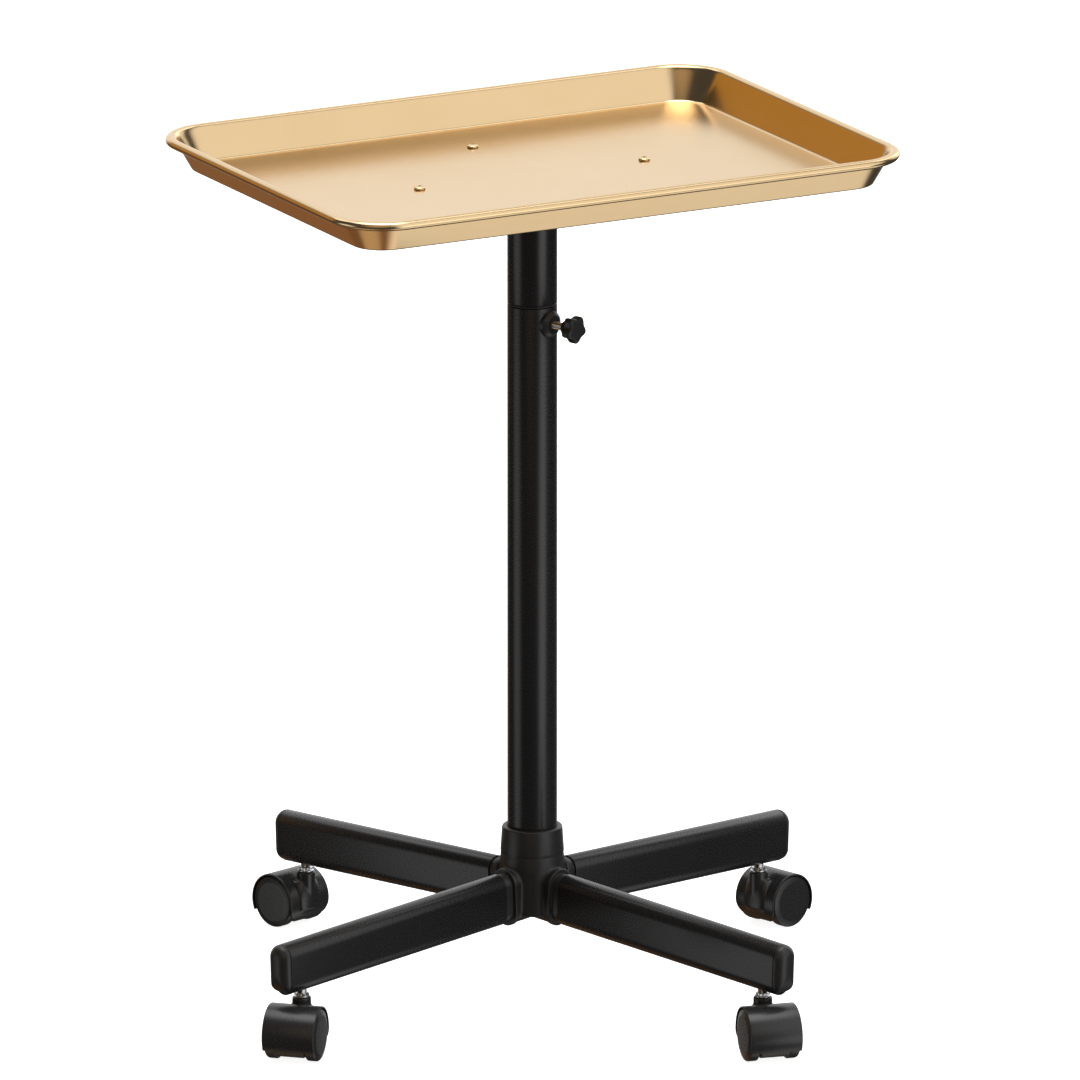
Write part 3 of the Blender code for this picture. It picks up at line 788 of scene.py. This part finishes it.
def make_hub():
    socket = skin(
        turned([(COLUMN_RADIUS + GAP, SOCKET_FLOOR), (COLUMN_RADIUS + GAP, HUB_TOP + 0.01)])
    )
    cuts = [
        socket,
        drill(BOLT_RADIUS + GAP, HUB_BOTTOM - 0.01, SOCKET_FLOOR + 0.01),
        drill(BOLT_HEAD_RADIUS + 0.0045, HUB_BOTTOM - 0.01, RECESS_TOP),
    ]
    flanges = together([placed(hub_flange(), turn) for turn in leg_frames().values()])
    hub = combined(hub_body(), [flanges, hub_mouth()], cuts)
    show(hub, "base_hub", "moulded_black")
    show(hub_bolt_mesh(), "hub_bolt", "zinc_steel")


def hub_bolt_mesh():
    """A socket-head bolt, seen from beneath in its recess."""
    seat = RECESS_TOP - GAP
    low = seat - BOLT_HEAD_HEIGHT
    radius, socket = BOLT_HEAD_RADIUS, 0.0034
    head = rounded([(socket + 0.0008, low, 0), (radius, low, 0.0005), (radius, seat, 0)])
    shank = [(BOLT_RADIUS, seat), (BOLT_RADIUS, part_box("hub_bolt")[1].z)]
    loops = [polygon(6, socket, low + 0.0035), polygon(6, socket, low + 0.0001)]
    return skin([*loops, *turned([*head, *shank], SMALL_ROUND)])


# ---------------------------------------------------------------- legs
def leg_tube_mesh():
    edge = 0.0003
    sections = rounded(
        [
            (TUBE_START, -TUBE_WALL, 0),
            (TUBE_START, 0, edge),
            (TUBE_END, 0, edge),
            (TUBE_END, -TUBE_WALL, 0),
        ],
        3,
    )
    middle = LEG_AXIS_HEIGHT - 0.010
    screw_hole = LEG_SCREW_RADIUS + 0.0004
    cuts = [
        drill(screw_hole, BELOW_LEGS, middle, Vector((LEG_SCREW_REACH, 0, 0))),
        drill(STEM_HOLE, BELOW_LEGS, middle, Vector((STEM_REACH, 0, 0))),
    ]
    return combined(skin([oval(grow, reach) for reach, grow in sections], ring=True), cut=cuts)


def end_cap_mesh():
    """A round nose on the tube's end, its lower corner a long curve, melted smooth."""
    start, swell, shrink, steps = TUBE_END + GAP, 0.0001, 0.0092, 16
    nose = []
    for i in range(steps + 1):
        turn = math.pi / 2 * i / steps
        reach = start + (LEG_TIP - start) * math.sin(turn)
        nose.append(oval(swell - shrink * (1 - math.cos(turn)), reach))
    return melted(combined(skin(nose), cut=[below_nose()]), 0.0005, 5)


def below_nose():
    """A cutter outside the nose's lower corner."""
    length, height, over = 0.014, 0.018, 0.002
    low = -LEG_HEIGHT / 2
    turn = arc(length, height, 0, -90, 24, (LEG_TIP - length, low + height))
    ends = [(LEG_TIP + over, low - over), (LEG_TIP + over, low + height)]
    outline = [*ends, *turn, (LEG_TIP - length, low - over)]
    sides = (-2 * LEG_RADIUS, 2 * LEG_RADIUS)
    return skin([[leg_point(reach, side, up) for reach, up in outline] for side in sides])


def leg_screw_mesh():
    """A headless screw with a hexagon socket, flush with the tube's underside."""
    low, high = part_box("leg_screw_1")
    socket, edge = 0.0013, 0.0005
    rod = [
        (LEG_SCREW_RADIUS - edge, low.z),
        (LEG_SCREW_RADIUS, low.z + edge),
        (LEG_SCREW_RADIUS, high.z),
    ]
    loops = [polygon(6, socket, low.z + 0.0020), polygon(6, socket, low.z + 0.0001)]
    loops += turned(rod, SMALL_ROUND)
    return placed(skin(loops), Matrix.Translation((LEG_SCREW_REACH, 0, 0)))


def stem_mesh():
    """A threaded stem with a thin ring and a hexagon nut on top of the castor's boss."""
    ring_low = BOSS_TOP + GAP
    nut_low = ring_low + 0.0009
    nut_high = nut_low + 0.0021
    ring_radius, nut_radius, edge = 0.0062, 0.0058, 0.0003
    ring = rounded(
        [
            (STEM_RADIUS, ring_low, 0),
            (ring_radius, ring_low, edge),
            (ring_radius, nut_low, edge),
            (nut_radius - 2 * edge, nut_low, 0),
        ],
        3,
    )
    loops = turned([(STEM_RADIUS, BOSS_BORE_END + GAP), *ring], SMALL_ROUND)
    loops.append(polygon(6, nut_radius, nut_low + edge / 3))
    loops.append(polygon(6, nut_radius, nut_high - edge))
    loops.append(circle(nut_radius * math.cos(math.pi / 6), nut_high, SMALL_ROUND))
    pitch, depth = 0.00125, 0.0003
    thread = []
    height = nut_high
    while height < STEM_TOP - pitch:
        thread += [(STEM_RADIUS - depth, height), (STEM_RADIUS, height + pitch / 2)]
        height += pitch
    thread.append((STEM_RADIUS - depth, STEM_TOP))
    return skin([*loops, *turned(thread, SMALL_ROUND)])


def make_legs():
    tube_mesh, cap_mesh, screw_mesh = leg_tube_mesh(), end_cap_mesh(), leg_screw_mesh()
    stem = stem_mesh()
    at_stem = Matrix.Translation((STEM_REACH, 0, 0))
    for number, turn in leg_frames().items():
        show(tube_mesh, f"leg_tube_{number}", "black_powder_coat", turn)
        show(cap_mesh, f"leg_end_cap_{number}", "moulded_black", turn)
        show(screw_mesh, f"leg_screw_{number}", "zinc_steel", turn)
        show(stem, f"castor_stem_{number}", "bright_steel", turn @ at_stem)
        keep(f"castor_insert_{number}", "zinc_steel")


# ---------------------------------------------------------------- castors
def castor_point(reach, across, up):
    """A place in a castor's frame: reach and up are from its axle, across is along it."""
    return Vector((CASTOR_TRAIL + reach, across, WHEEL_RADIUS + up))


def hood_section(half_width):
    """The hood's (radius, across) outline, with round outer edges."""
    edge = 0.0007
    corners = [
        (HOOD_BORE, half_width, 0.0002),
        (HOOD_BORE, -half_width, 0.0002),
        (HOOD_RADIUS, -half_width, edge),
        (HOOD_RADIUS, half_width, edge),
    ]
    return rounded(corners, 4)


def castor_hood():
    """A curved sheet over both wheels and down the stem's side, with round corners there."""
    steps = 110
    loops = []
    for i in range(steps + 1):
        angle = HOOD_START + (HOOD_END - HOOD_START) * i / steps
        share = max(0.0, 1 - (HOOD_END - angle) / HOOD_CORNER_TURN)
        inset = HOOD_CORNER * (1 - math.sqrt(1 - share * share))
        loops.append(
            [
                castor_point(radius * math.cos(angle), across, radius * math.sin(angle))
                for radius, across in hood_section(HOOD_HALF_WIDTH - inset)
            ]
        )
    return skin(loops)


def castor_web():
    """The body between the wheels: a disc that swells round the stem's boss."""
    radius = HOOD_BORE + 0.0005
    disc = arc(radius, radius, -150, 120, 60)
    flat_back = arc(radius, radius, 148, 189, 8)
    full_back = arc(0.0100, 0.0270, 115, 180, 8, (-CASTOR_TRAIL + 0.0022, -0.004))
    steps = 16
    loops = []
    for i in range(steps + 1):
        turn = math.pi * i / steps
        ends = [flat.lerp(full, math.sin(turn)) for flat, full in zip(flat_back, full_back)]
        across = -WEB_HALF_WIDTH * math.cos(turn)
        loops.append([castor_point(reach, across, up) for reach, up in disc + ends])
    return skin(loops)


def castor_housing_mesh():
    """Hood, web and boss in one."""
    boss = rounded(
        [
            (0.001, 0.022, 0),
            (BOSS_RADIUS, 0.022, 0),
            (BOSS_RADIUS, BOSS_TOP, 0.0006),
            (0.001, BOSS_TOP, 0),
        ]
    )
    bore = drill(STEM_HOLE, BOSS_BORE_END, BOSS_TOP + 0.01)
    axle_bore = placed(drill(AXLE_RADIUS + GAP, -0.03, 0.03), axle_frame())
    under, clearance = -0.010, 0.0055
    floor = skin([rounded_rectangle(0.030, 0.013, 0.001, up, 1) for up in (under, clearance)])
    floor = placed(floor, Matrix.Translation((CASTOR_TRAIL, 0, 0)))
    middle = melted(together([castor_web(), skin(turned(boss, 64))]), 0.0006, 6)
    return combined(castor_hood(), [middle], [bore, axle_bore, floor])


def axle_frame():
    turn = Matrix.Rotation(-math.pi / 2, 4, "X")
    return Matrix.Translation((CASTOR_TRAIL, 0, WHEEL_RADIUS)) @ turn


def castor_wheel_mesh():
    """Turned about Z, with a blind bore in its inner side and a slightly domed face."""
    bore = AXLE_RADIUS + GAP
    profile = rounded(
        [
            (bore, WHEEL_OUTER - 0.002, 0),
            (bore, WHEEL_INNER, 0.0002),
            (WHEEL_RADIUS, WHEEL_INNER, 0.0007),
            (WHEEL_RADIUS, WHEEL_OUTER - 0.0012, 0.0020),
            (0.0150, WHEEL_OUTER - 0.0001, 0.0040),
            (0.0005, WHEEL_OUTER, 0),
        ],
        6,
    )
    return skin(turned(profile, 72))


def make_castors():
    housing, wheel = castor_housing_mesh(), castor_wheel_mesh()
    turned_over = Matrix.Rotation(math.pi, 4, "X")
    for number in leg_frames():
        stem = Vector(joints[f"castor_swivel_{number}"]["pos_m"][:2])
        axle = Vector(joints[f"castor_left_wheel_spin_{number}"]["pos_m"][:2])
        trail = axle - stem
        turn = Matrix.Rotation(math.atan2(trail.y, trail.x), 4, "Z")
        place = Matrix.Translation((stem.x, stem.y, 0)) @ turn
        show(housing, f"castor_housing_{number}", "castor_black", place)
        left = place @ axle_frame()
        show(wheel, f"castor_wheel_left_{number}", "castor_black", left)
        show(wheel, f"castor_wheel_right_{number}", "castor_black", left @ turned_over)
        keep(f"castor_axle_{number}", "zinc_steel")


# ---------------------------------------------------------------- studio
def pale_floor():
    """A wide floor that stays out of reflections, which see the studio's own light instead."""
    shape = bmesh.new()
    bmesh.ops.create_grid(shape, x_segments=4, y_segments=4, size=30)
    mesh = mesh_of(shape)
    floor = bpy.data.objects.new("studio_floor", mesh)
    bpy.context.scene.collection.objects.link(floor)
    floor.location.z = -0.0002
    material = bpy.data.materials.new("pale_floor")
    material.use_nodes = True
    shader = material.node_tree.nodes["Principled BSDF"]
    shader.inputs["Base Color"].default_value = (0.86, 0.86, 0.86, 1)
    shader.inputs["Roughness"].default_value = 0.9
    shader.inputs["Emission Color"].default_value = (1, 1, 1, 1)
    shader.inputs["Emission Strength"].default_value = 0.9
    mesh.materials.append(material)
    floor.visible_glossy = False
    floor.visible_diffuse = False


def add_panel(tree, sight, total, panel):
    """Adds a panel's light to the total, at full strength in its middle and fading outwards."""
    towards, inner, outer, strength, colour = panel
    facing = node(tree, "ShaderNodeVectorMath", operation="DOT_PRODUCT")
    facing.inputs[1].default_value = Vector(towards).normalized()
    tree.links.new(sight, facing.inputs[0])
    fade = node(tree, "ShaderNodeMapRange", interpolation_type="SMOOTHSTEP")
    fade.inputs["From Min"].default_value = math.cos(math.radians(outer))
    fade.inputs["From Max"].default_value = math.cos(math.radians(inner))
    fade.inputs["To Max"].default_value = strength
    tree.links.new(facing.outputs["Value"], fade.inputs["Value"])
    glow = node(tree, "ShaderNodeVectorMath", operation="SCALE")
    glow.inputs[0].default_value = colour
    tree.links.new(fade.outputs["Result"], glow.inputs["Scale"])
    summed = node(tree, "ShaderNodeVectorMath", operation="ADD")
    tree.links.new(total, summed.inputs[0])
    tree.links.new(glow.outputs["Vector"], summed.inputs[1])
    return summed.outputs["Vector"]


def studio_light():
    """Soft light from all round, with broad panels that gloss picks up, on a white backdrop."""
    world = bpy.data.worlds.new("studio")
    bpy.context.scene.world = world
    world.use_nodes = True
    tree = world.node_tree
    background = tree.nodes["Background"]
    sight = node(tree, "ShaderNodeTexCoord").outputs["Generated"]
    level = node(tree, "ShaderNodeCombineXYZ", x=BASE_LIGHT, y=BASE_LIGHT, z=BASE_LIGHT)
    total = level.outputs["Vector"]
    for panel in PANELS:
        total = add_panel(tree, sight, total, panel)

    seen = node(tree, "ShaderNodeLightPath")
    choice = node(tree, "ShaderNodeMix", data_type="RGBA")
    colours = [socket for socket in choice.inputs if socket.type == "RGBA"]
    tree.links.new(seen.outputs["Is Camera Ray"], choice.inputs[0])
    tree.links.new(total, colours[0])
    colours[1].default_value = (*WHITE, 1)
    mixed = next(socket for socket in choice.outputs if socket.type == "RGBA")
    tree.links.new(mixed, background.inputs["Color"])


def make_camera():
    data = bpy.data.cameras.new("camera")
    camera = bpy.data.objects.new("camera", data)
    bpy.context.scene.collection.objects.link(camera)
    data.lens = CAMERA_LENS_MM
    data.sensor_width = CAMERA_SENSOR_MM
    data.shift_x = CAMERA_SHIFT
    data.clip_end = 100
    back = Vector(
        (
            math.sin(CAMERA_AZIMUTH) * math.cos(CAMERA_ELEVATION),
            -math.cos(CAMERA_AZIMUTH) * math.cos(CAMERA_ELEVATION),
            math.sin(CAMERA_ELEVATION),
        )
    )
    camera.location = CAMERA_TARGET + CAMERA_DISTANCE * back
    camera.rotation_euler = (-back).to_track_quat("-Z", "Y").to_euler()
    bpy.context.scene.camera = camera
    bpy.context.scene.view_settings.view_transform = "Standard"


# ---------------------------------------------------------------- the cart
make_camera()
make_tray()
make_column()
make_hub()
make_legs()
make_castors()
pale_floor()
studio_light()
